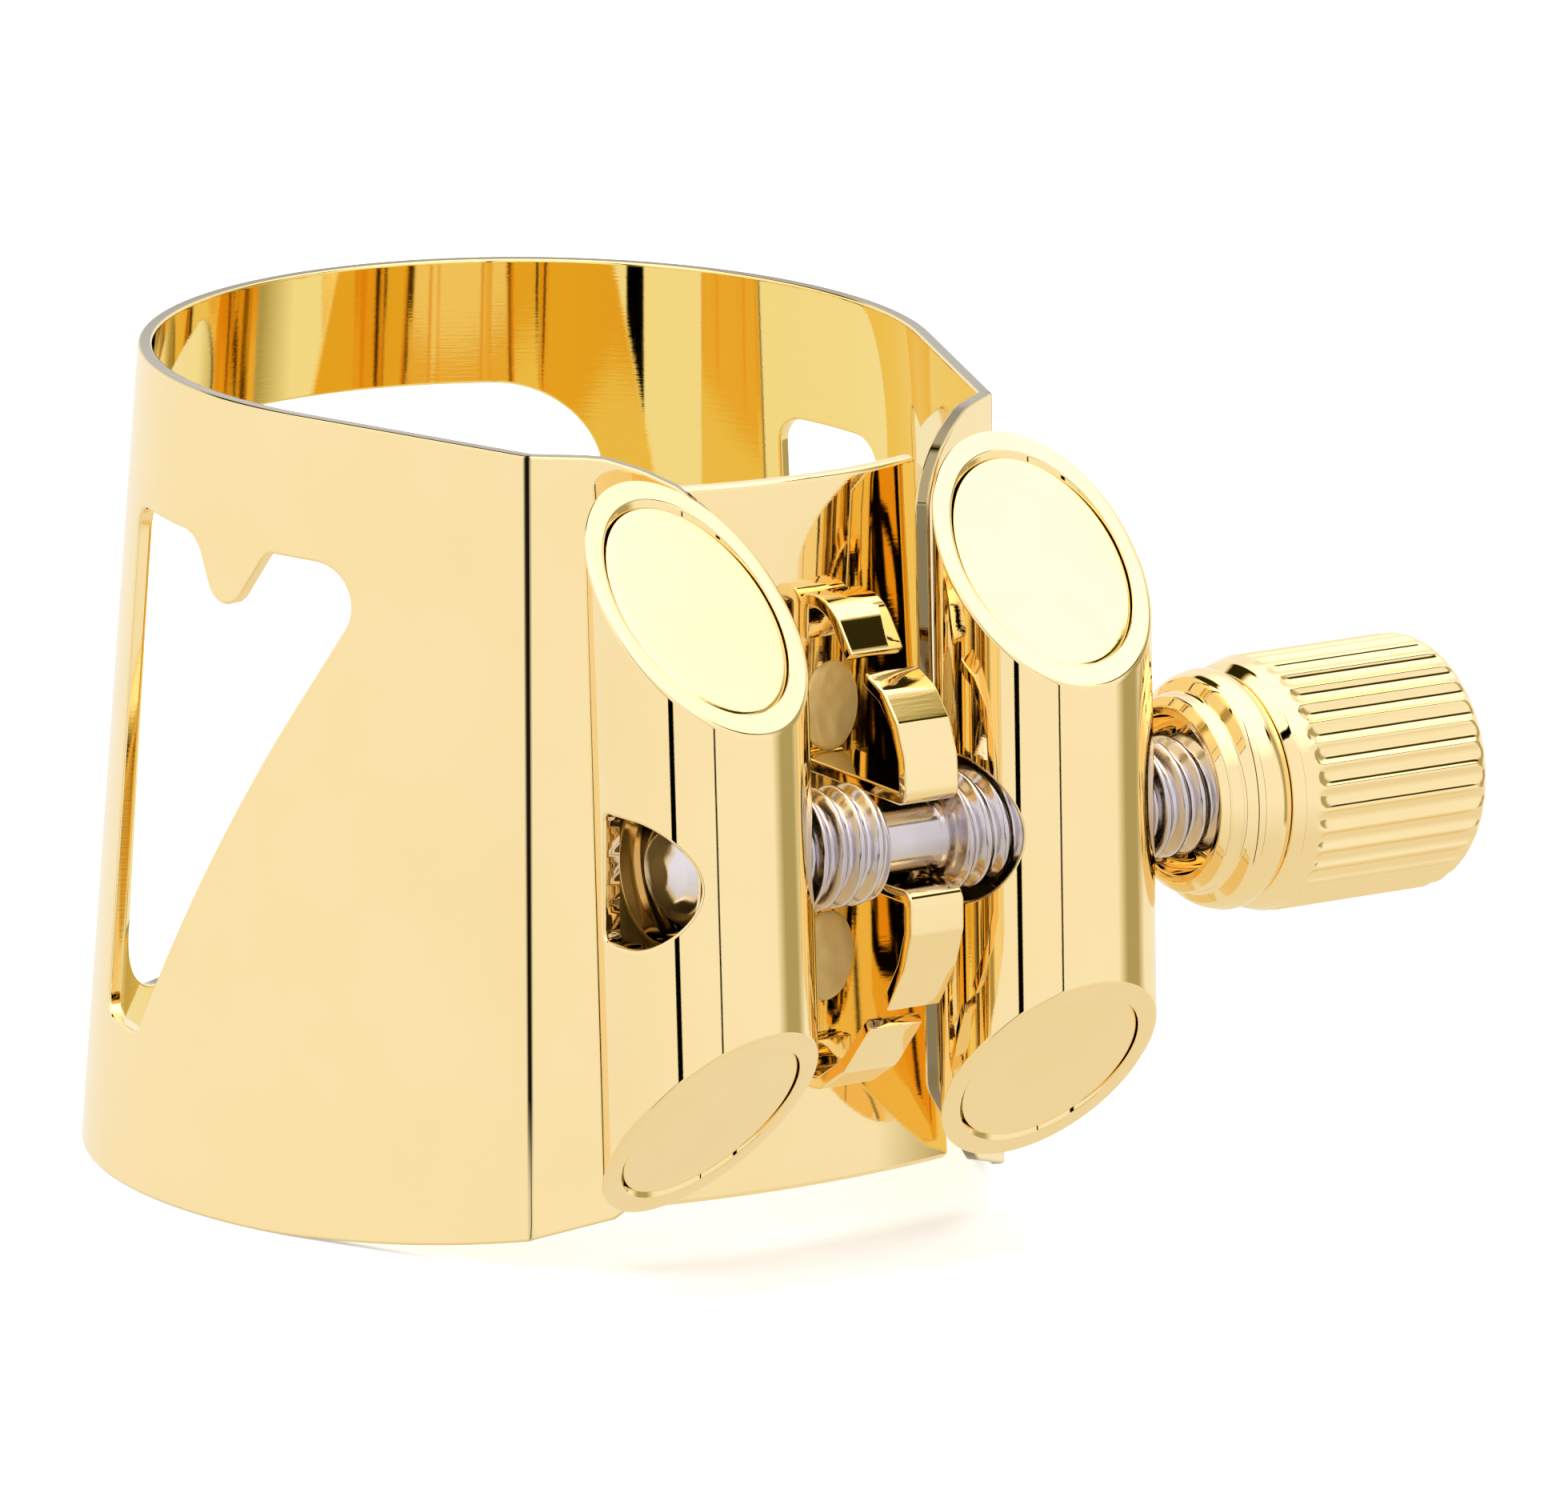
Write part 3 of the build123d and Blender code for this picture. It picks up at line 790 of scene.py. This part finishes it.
def bush(name, mirror, node, body):
    """Threaded bush across a post, with a countersunk mouth and a turned step."""
    bore, face = 2.2, 2.7
    half = [(0.9, face, 0.05), (1.35, 2.62, 0.05), (1.35, 2.46, 0.04), (1.72, 2.4, 0.04),
            (1.72, 2.26, 0.03)]
    corners = [(POST_X + x, r, k) for x, r, k in half] + [(POST_X + 1.2, bore, 0.03),
                                                        (POST_X - 1.2, bore, 0.03)]
    corners += [(POST_X - x, r, k) for x, r, k in reversed(half)]
    path = rounded_path(corners, 22.5, closed=True)
    if mirror:
        path = np.array(mirrored(path))
    return settle(turned(name, path, GOLD, 128, loop=True), body, (node,))


for side, mirror in (("left", True), ("right", False)):
    half = side + "_half"
    post_shell(side + "_post_shell", mirror, side + "_post", half)
    end_disc(side + "_upper_oval", mirror, POST_TOP, TOP_SLOPE, 1, side + "_upper_disc", half)
    end_disc(side + "_lower_oval", mirror, POST_BASE, BASE_SLOPE, -1, side + "_lower_disc", half)
    bush(side + "_bush_ring", mirror, side + "_thread_bush", half)


# ------------------------------------------------------------------ cut threads and flutes
def cutting_tree(name, inputs, rule):
    """Geometry nodes that sink points towards the screw's axis by a rule's depth."""
    tree = bpy.data.node_groups.new(name, "GeometryNodeTree")
    tree.interface.new_socket("Geometry", in_out="INPUT", socket_type="NodeSocketGeometry")
    for key in inputs:
        tree.interface.new_socket(key, in_out="INPUT", socket_type="NodeSocketFloat")
    tree.interface.new_socket("Finish", in_out="INPUT", socket_type="NodeSocketMaterial")
    tree.interface.new_socket("Geometry", in_out="OUTPUT", socket_type="NodeSocketGeometry")
    n = Nodes(tree)
    group = n.add("NodeGroupInput")
    place = n.add("ShaderNodeSeparateXYZ", {"Vector": n.add("GeometryNodeInputPosition").outputs[0]})
    y = n.math("SUBTRACT", place.outputs["Y"], group.outputs["Axis Y"])
    z = n.math("SUBTRACT", place.outputs["Z"], group.outputs["Axis Z"])
    radius = n.math("SQRT", n.math("ADD", n.math("MULTIPLY", y, y), n.math("MULTIPLY", z, z)))
    angle = n.math("ARCTAN2", z, y)
    cut = rule(n, group.outputs, place.outputs["X"], radius, angle)
    share = n.math("DIVIDE", cut, n.math("MAXIMUM", radius, 1e-7))
    inwards = n.math("MULTIPLY", share, -1.0)
    offset = n.add("ShaderNodeCombineXYZ", {"X": 0.0, "Y": n.math("MULTIPLY", y, inwards),
                                            "Z": n.math("MULTIPLY", z, inwards)})
    moved = n.add("GeometryNodeSetPosition", {"Geometry": group.outputs["Geometry"],
                                              "Offset": offset.outputs[0]})
    smooth = n.add("GeometryNodeSetShadeSmooth", {"Geometry": moved.outputs[0]})
    solid = n.add("GeometryNodeRealizeInstances", {"Geometry": smooth.outputs[0]})
    dressed = n.add("GeometryNodeSetMaterial", {"Geometry": solid.outputs[0],
                                                "Material": group.outputs["Finish"]})
    out = n.add("NodeGroupOutput")
    tree.links.new(dressed.outputs[0], out.inputs[0])
    return tree


def thread_rule(n, given, x, radius, angle):
    """V grooves that wind along X: right hand for a Hand of 1, left hand for -1."""
    turns = n.math("MULTIPLY", n.math("DIVIDE", angle, 2 * math.pi), given["Hand"])
    wave = n.math("FRACT", n.math("SUBTRACT", n.math("DIVIDE", x, given["Pitch"]), turns))
    vee = n.math("SUBTRACT", 1.0, n.math("ABSOLUTE", n.math("MULTIPLY_ADD", wave, 2.0, -1.0)))
    vee = n.math("MULTIPLY_ADD", vee, 1.28, -0.16, clamp=True)
    enter = n.math("DIVIDE", n.math("SUBTRACT", x, given["Start"]), given["Fade"], clamp=True)
    leave = n.math("DIVIDE", n.math("SUBTRACT", given["End"], x), given["Fade"], clamp=True)
    fade = n.math("MULTIPLY", enter, leave)
    return n.math("MULTIPLY", n.math("MULTIPLY", vee, given["Depth"]), fade)


def flute_rule(n, given, x, radius, angle):
    """Round-bottomed flutes whose cutter lifts out at the start, leaving pointed arches there."""
    turn = n.math("DIVIDE", 2 * math.pi, given["Count"])
    part = n.math("SUBTRACT", n.math("FRACT", n.math("DIVIDE", angle, turn)), 0.5)
    aside = n.math("MULTIPLY", n.math("MULTIPLY", part, turn), given["Radius"])
    rest = n.math("SUBTRACT", n.math("POWER", given["Cutter"], 2.0), n.math("MULTIPLY", aside, aside))
    chord = n.math("SQRT", n.math("MAXIMUM", rest, 0.0))
    near = n.math("DIVIDE", n.math("SUBTRACT", given["Start"], x), given["Fade"])
    near = n.math("MAXIMUM", near, 0.0)
    lift = n.math("MULTIPLY", n.math("MULTIPLY", near, near), given["Cutter"])
    floor = n.math("SUBTRACT", n.math("ADD", given["Centre"], lift), chord)
    cut = n.math("MAXIMUM", n.math("SUBTRACT", radius, floor), 0.0)
    return n.math("MULTIPLY", cut, n.math("GREATER_THAN", rest, 0.0))


def cut(piece, tree, values, finish):
    modifier = piece.modifiers.new("cut", "NODES")
    modifier.node_group = tree
    for item in tree.interface.items_tree:
        if item.in_out != "INPUT" or item.name == "Geometry":
            continue
        modifier[item.identifier] = finish if item.name == "Finish" else float(values[item.name])


def made_plain(piece, finish):
    """The evaluated piece as a plain mesh, its modifiers removed."""
    bpy.context.view_layer.update()
    result = piece.evaluated_get(bpy.context.evaluated_depsgraph_get())
    mesh = bpy.data.meshes.new_from_object(result)
    mesh.name = piece.name + "_mesh"
    piece.modifiers.clear()
    piece.data = mesh
    piece.data.materials.clear()
    piece.data.materials.append(finish)
    return piece


AXIS = {"Axis Y": -POST_REACH * MM, "Axis Z": SCREW_HEIGHT * MM}
thread_tree = cutting_tree("cut_thread", ["Axis Y", "Axis Z", "Start", "End", "Fade", "Pitch",
                                          "Depth", "Hand"], thread_rule)
flute_tree = cutting_tree("cut_flutes", ["Axis Y", "Axis Z", "Start", "Fade", "Count", "Radius",
                                         "Cutter", "Centre"], flute_rule)


def dense(path, step):
    """The same profile with no gap along it longer than a step."""
    full = []
    for a, b in zip(path[:-1], path[1:]):
        parts = max(1, int(math.ceil(np.linalg.norm(np.subtract(b, a)) / step)))
        full += [tuple(np.array(a) + (np.array(b) - np.array(a)) * k / parts) for k in range(parts)]
    return full + [tuple(path[-1])]


def clamping_screw():
    profile = rounded_path([
        (-8.3, 0.02, 0), (-8.3, 0.5, 0.4), (-8.12, 1.15, 0.5), (-7.75, 1.62, 0.5),
        (-7.2, CREST_RADIUS, 0.4), (-0.62, CREST_RADIUS, 0.08), (-0.3, WAIST_RADIUS, 0.2),
        (2.0, WAIST_RADIUS, 0.2), (2.32, CREST_RADIUS, 0.08), (13.6, CREST_RADIUS, 0.05),
        (14.2, 1.5, 0)], 20.0)
    piece = turned("left_and_right_hand_screw", dense(profile, 0.058), STEEL, 88)
    for start, end, hand in ((-7.3, -0.45, -1.0), (2.12, 13.4, 1.0)):
        cut(piece, thread_tree, dict(AXIS, Start=start * MM, End=end * MM, Fade=0.25 * MM,
                                     Pitch=PITCH * MM, Depth=THREAD_DEPTH * MM, Hand=hand), STEEL)
    return settle(made_plain(piece, STEEL), "screw", ("clamp_screw",))


def screw_collar():
    """Cup between the screw and the knob: thin lip, waist, rounded belly and a neck."""
    path = rounded_path([
        (13.3, 2.02, 0.1), (13.3, 2.4, 0.2), (11.5, 2.62, 0.06), (11.45, 2.9, 0.12),
        (11.7, 3.22, 0.16), (12.15, 3.26, 0.25), (12.5, 3.78, 0.6),
        (13.2, 4.0, 0.6), (13.64, 3.74, 0.08), (13.72, 3.55, 0.05),
        (13.95, 3.4, 0.05), (13.95, 2.02, 0.05)], 9.0, closed=True)
    piece = turned("collar_cup", path, GOLD, 160, loop=True)
    return settle(piece, "screw", ("knob_collar",))


def fluted_knob():
    profile = rounded_path([
        (KNOB_START + 0.02, 0.3, 0), (KNOB_START + 0.02, 3.72, 0.06), (KNOB_START + 0.35, 4.0, 0.3),
        (KNOB_START + 0.95, KNOB_RADIUS, 1.2), (KNOB_END, KNOB_RADIUS, 0.95),
        (KNOB_END, 1.6, 0.3), (KNOB_END - 0.06, 0.25, 0)], 9.0)
    piece = turned("fluted_knob", dense(profile, 0.16), GOLD, FLUTES * 10)
    cut(piece, flute_tree, dict(AXIS, Start=(KNOB_START + 1.25) * MM, Fade=0.9 * MM, Count=FLUTES,
                                Radius=KNOB_RADIUS * MM, Cutter=0.47 * MM,
                                Centre=(KNOB_RADIUS + 0.29) * MM), GOLD)
    return settle(made_plain(piece, GOLD), "screw", ("thumb_knob",))


clamping_screw()
screw_collar()
fluted_knob()


# ------------------------------------------------------------------ plate and its fittings
def bar(name, path, section, finish, mark_ends=0.08):
    """Strip whose (x, thickness) section follows a Y-Z path, with softened ends."""
    shape = Shape()
    path = np.asarray(path, float)
    ahead = np.gradient(path, axis=0)
    ahead /= np.linalg.norm(ahead, axis=1)[:, None]
    aside = np.stack([-ahead[:, 1], ahead[:, 0]], -1)
    section = np.asarray(section, float)
    middle = section.mean(axis=0)
    spots = [(path[0], 0, 0.55), (path[0] + ahead[0] * mark_ends * 0.3, 0, 0.85)]
    spots += [(path[i], i, 1.0) for i in range(1, len(path) - 1)]
    spots += [(path[-1] - ahead[-1] * mark_ends * 0.3, -1, 0.85), (path[-1], -1, 0.55)]
    rings = []
    for at, i, share in spots:
        shrink = section - middle
        shrink = shrink - np.sign(shrink) * np.minimum(np.abs(shrink), mark_ends) * (1 - share)
        shrink = shrink + middle
        ring = np.column_stack([shrink[:, 0], at[0] + aside[i, 0] * shrink[:, 1],
                                at[1] + aside[i, 1] * shrink[:, 1]])
        rings.append(shape.add(ring))
    shape.skin(rings)
    shape.cap(rings[0])
    shape.cap(rings[-1])
    return shape.build(name, finish)


def rounded_box_section(low, high, half_thick, radius):
    corners = [(low, -half_thick, radius), (high, -half_thick, radius),
               (high, half_thick, radius), (low, half_thick, radius)]
    return rounded_path(corners, 18.0, closed=True)


def claw_strip(points, *radii):
    """Path of a bent strip from (reach, rise) points; radii of the bends, the last one repeated."""
    bends = [0, *(radii[min(i, len(radii) - 1)] for i in range(len(points) - 2)), 0]
    corners = [(-reach, SCREW_HEIGHT + rise, bend) for (reach, rise), bend in zip(points, bends)]
    return rounded_path(corners, 9.0, 0.3)


def half_width(z):
    """Half the plate's width at a height."""
    narrowing = (PLATE_HALF_TOP - PLATE_HALF_BASE) / (PLATE_TOP - PLATE_BASE)
    return PLATE_HALF_BASE + narrowing * (z - PLATE_BASE)


def bowed(x, z):
    """Y of the plate's front face across its width at a height."""
    radius = (half_width(z) ** 2 + PLATE_BOW ** 2) / (2 * PLATE_BOW)
    return -PLATE_FRONT + radius - np.sqrt(radius ** 2 - (x - PLATE_CENTRE) ** 2)


def pressing_plate():
    """Bowed plate with rounded edges, standing upright."""
    half = PLATE_HALF_BASE
    section = rounded_path([(-half, 0, 0.2), (half, 0, 0.2), (half, PLATE_THICK, 0.2),
                            (-half, PLATE_THICK, 0.2)], 15.0, 0.3, closed=True)
    shape = Shape()
    ends = [(0.0, 0.2), (0.03, 0.1), (0.1, 0.03), (0.2, 0)]
    heights = [(PLATE_BASE + into, shrink) for into, shrink in ends]
    heights += [(z, 0) for z in np.linspace(PLATE_BASE + 1.5, PLATE_TOP - 1.5, 12)]
    heights += [(PLATE_TOP - into, shrink) for into, shrink in reversed(ends)]
    middle = np.array([0, PLATE_THICK / 2])
    rings = []
    for z, shrink in heights:
        at = section - middle
        outwards = np.minimum(np.abs(at[:, 0]) / (half - 0.3), 1)
        at[:, 0] -= np.sign(at[:, 0]) * (half - half_width(z)) * outwards
        at = at - np.sign(at) * np.minimum(np.abs(at), shrink) + middle
        x = at[:, 0] + PLATE_CENTRE
        rings.append(shape.add(np.column_stack([x, bowed(x, z) + at[:, 1], np.full(len(at), z)])))
    shape.skin(rings)
    for ring in (rings[0], rings[-1]):
        shape.faces.append(tuple(int(i) for i in ring))
    return settle(shape.build("reed_plate", GOLD), "plate", ("pressure_plate",))


def reed_rails():
    for side in (-1, 1):
        middle = PLATE_CENTRE + side * 2.9
        back = float(bowed(middle, PLATE_BASE)) + PLATE_THICK - 0.15
        top = -PLATE_FRONT + PLATE_THICK + 0.8
        section = rounded_path([(middle - 0.55, back, 0.05), (middle + 0.55, back, 0.05),
                                (middle + 0.55, top, 0.3), (middle - 0.55, top, 0.3)], 15.0, closed=True)
        shape = Shape()
        centre = section.mean(axis=0)
        rings = []
        ends = [(0.0, 0.25), (0.06, 0.1), (0.25, 0.0)]
        rows = [(PLATE_BASE + 1.2 + d, k) for d, k in ends]
        rows += [(PLATE_TOP - 1.2 - d, k) for d, k in reversed(ends)]
        for z, shrink in rows:
            at = section - centre
            at = at - np.sign(at) * np.minimum(np.abs(at), shrink) + centre
            rings.append(shape.add(np.column_stack([at, np.full(len(at), z)])))
        shape.skin(rings)
        shape.cap(rings[0])
        shape.cap(rings[-1])
        name = ("left" if side < 0 else "right") + "_reed_rail"
        settle(shape.build(name, GOLD), "plate", ())


def solder_pad(name, rise, node):
    """Oval dab of cast solder with a grainy face."""
    shape = Shape()
    angles = np.arange(72) * 2 * math.pi / 72
    half_wide, half_tall, thick = 1.1, 1.5, 0.2
    random = np.random.default_rng(7 if rise > 0 else 8)
    waves = [(random.uniform(-9, 9, 2), random.uniform(0, 6.3), random.uniform(0.003, 0.012))
             for _ in range(26)]

    def height(x, z, share):
        ripple = sum(size * np.sin(k[0] * x + k[1] * z + phase) for k, phase, size in waves)
        return thick * np.sqrt(np.maximum(1 - share ** 4, 0)) * 0.9 + ripple * (1 - share ** 6) * 0.5

    rings = []
    for share in list(np.linspace(0.06, 0.9, 15)) + [0.94, 0.97, 0.99, 1.0]:
        x, z = half_wide * share * np.cos(angles), half_tall * share * np.sin(angles)
        front = bowed(x + PAD_X, z + SCREW_HEIGHT + rise) - np.minimum(height(x, z, share), thick)
        rings.append(shape.add(np.column_stack([x + PAD_X, front, z + SCREW_HEIGHT + rise])))
    x, z = half_wide * np.cos(angles), half_tall * np.sin(angles)
    back = bowed(x + PAD_X, SCREW_HEIGHT + rise) + 0.15
    rings.append(shape.add(np.column_stack([x + PAD_X, back, z + SCREW_HEIGHT + rise])))
    shape.skin(rings)
    shape.cap(rings[0])
    shape.cap(rings[-1])
    return settle(shape.build(name, MATTE), "plate", (node,))


def fittings():
    low = CLAW_CENTRE - CLAW_WIDTH / 2
    section = rounded_box_section(low, low + CLAW_WIDTH, CLAW_SHEET / 2, 0.09)
    seat = PLATE_FRONT + CLAW_SHEET / 2 - 0.03
    upper = claw_strip([(seat, 0.2), (seat, 1.6), (21.35, 1.6), (21.2, 2.9), (20.75, 3.9),
                        (20.0, 4.7), (19.0, 5.1)], 0.3)
    lower = claw_strip([(seat, -0.2), (seat, -1.6), (21.7, -1.55), (21.75, -2.7), (21.4, -3.9),
                        (20.5, -5.4)], 0.3)
    settle(bar("upper_claw", upper, section, GOLD), "plate", ("claw_bracket",))
    settle(bar("lower_claw", lower, section, GOLD), "plate", ())
    hook = claw_strip([(seat, 5.7), (seat, 7.0), (16.4, 7.05), (17.15, 6.75), (18.1, 5.6)], 0.32, 1.3)
    settle(bar("upper_stop_hook", hook, section, GOLD), "plate", ("upper_hook",))
    hook = claw_strip([(seat, -7.7), (seat, -8.9), (16.8, -8.8), (18.2, -7.9), (19.6, -6.2)], 0.32, 0.9)
    settle(bar("lower_stop_hook", hook, section, GOLD), "plate", ("lower_hook",))


pressing_plate()
reed_rails()
fittings()
solder_pad("upper_solder_pad", 3.25, "upper_pad")
solder_pad("lower_solder_pad", -5.05, "lower_pad")


# ------------------------------------------------------------------ floor, light and camera
def floor_sheet():
    work = bmesh.new()
    bmesh.ops.create_grid(work, x_segments=8, y_segments=8, size=3.0)
    mesh = bpy.data.meshes.new("floor")
    work.to_mesh(mesh)
    work.free()
    floor = placed("floor", mesh)
    material = bpy.data.materials.new("pale_paper")
    material.use_nodes = True
    n = Nodes(material.node_tree)
    shader = material.node_tree.nodes["Principled BSDF"]
    place = n.add("ShaderNodeTexCoord").outputs["Object"]
    fibre = n.add("ShaderNodeTexNoise", {"Vector": place, "Scale": 900.0}).outputs["Fac"]
    white = n.ramp(fibre, [(0.3, (0.94, 0.94, 0.94)), (0.7, (0.96, 0.96, 0.96))])
    n.put(shader.inputs["Base Color"], white)
    shader.inputs["Roughness"].default_value = 0.9
    shader.inputs["Specular IOR Level"].default_value = 0.1
    shader.inputs["Emission Color"].default_value = (1.0, 1.0, 1.0, 1)
    shader.inputs["Emission Strength"].default_value = 0.35
    mesh.materials.append(material)
    floor.visible_glossy = False


# bearing of the middle, half width, soft edge, lowest, highest, brightness left
BOARDS = [
    (-152.5, 2.4, 0.6, -50.0, 62.0, 0.0),
    (-108.0, 0.7, 0.4, -50.0, 62.0, 0.0),
    (-21.0, 9.0, 13.0, -18.0, 40.0, 0.45),
    (-36.0, 9.0, 5.0, 43.0, 50.0, 0.02),
    (96.0, 16.0, 8.0, 34.0, 58.0, 0.02),
]
BOARD_COLOUR = (1.0, 0.82, 0.16, 1)


def soft_surround():
    """White room with a few dark boards, as a product table has, set out by direction."""
    world = bpy.data.worlds.new("white_room")
    bpy.context.scene.world = world
    world.use_nodes = True
    n = Nodes(world.node_tree)
    background = world.node_tree.nodes["Background"]
    view = n.add("ShaderNodeSeparateXYZ", {"Vector": n.add("ShaderNodeTexCoord").outputs["Generated"]})
    x, y, z = (view.outputs[k] for k in "XYZ")
    bearing = n.math("DIVIDE", n.math("ARCTAN2", y, x), math.pi / 180)
    height = n.math("DIVIDE", n.math("ARCSINE", z), math.pi / 180)

    def board(centre, half, soft, low, high, dark):
        gap = n.math("ABSOLUTE", n.math("WRAP", n.math("SUBTRACT", bearing, centre), 180.0, -180.0))
        across = n.spread(gap, half, half + soft, 1.0, 0.0)
        below = n.spread(height, low - 4, low, 0.0, 1.0)
        above = n.spread(height, high, high + 4, 1.0, 0.0)
        amount = n.math("MULTIPLY", n.math("MULTIPLY", across, below), above)
        return n.math("MULTIPLY_ADD", amount, dark - 1.0, 1.0)

    light = None
    for spec in BOARDS:
        shade = board(*spec)
        light = shade if light is None else n.math("MULTIPLY", light, shade)
    shadow = n.math("SUBTRACT", 1.0, light, clamp=True)
    walls = n.ramp(n.spread(height, -90, 90, 0.0, 1.0), [
        (0.30, (0.87, 0.82, 0.70)), (0.44, (0.97, 0.96, 0.92)), (0.48, (1.0, 1.0, 1.0))])
    n.put(background.inputs["Color"], n.mix(shadow, walls, BOARD_COLOUR))
    glow = n.spread(height, 34.0, 58.0, 1.0, 1.75)
    n.put(background.inputs["Strength"], n.math("MULTIPLY", light, glow))


def lamp(name, place, size, power):
    data = bpy.data.lights.new(name, "AREA")
    data.shape = "SQUARE"
    data.size = size
    data.energy = power
    lamp_object = placed(name, data)
    lamp_object.location = place
    lamp_object.visible_glossy = False


SENSOR, LENS = 36.0, 440.81633


def camera():
    """Long lens from the front left, a little above the rim."""
    bearing, rise, roll = math.radians(-34.068), math.radians(14.206), math.radians(0.934)
    distance, across, height = 629.92, 8.207, 13.208
    back = np.array([math.sin(bearing) * math.cos(rise), -math.cos(bearing) * math.cos(rise),
                     math.sin(rise)])
    right = np.cross(-back, [0, 0, 1])
    right /= np.linalg.norm(right)
    up = np.cross(right, -back)
    right_rolled = right * math.cos(roll) + up * math.sin(roll)
    up_rolled = -right * math.sin(roll) + up * math.cos(roll)
    target = np.array([across * math.cos(bearing), across * math.sin(bearing), height])
    place = (target + back * distance) * MM
    data = bpy.data.cameras.new("camera")
    data.sensor_width, data.lens = SENSOR, LENS
    data.clip_end = 20.0
    view = placed("camera", data)
    columns = np.column_stack([right_rolled, up_rolled, back])
    matrix = np.eye(4)
    matrix[:3, :3], matrix[:3, 3] = columns, place
    view.matrix_world = Matrix([tuple(row) for row in matrix])
    bpy.context.scene.camera = view


floor_sheet()
soft_surround()
lamp("soft_top_lamp", (0.0, -0.1, 0.9), 1.4, 4.0)
camera()
bpy.context.scene.view_settings.view_transform = "Standard"
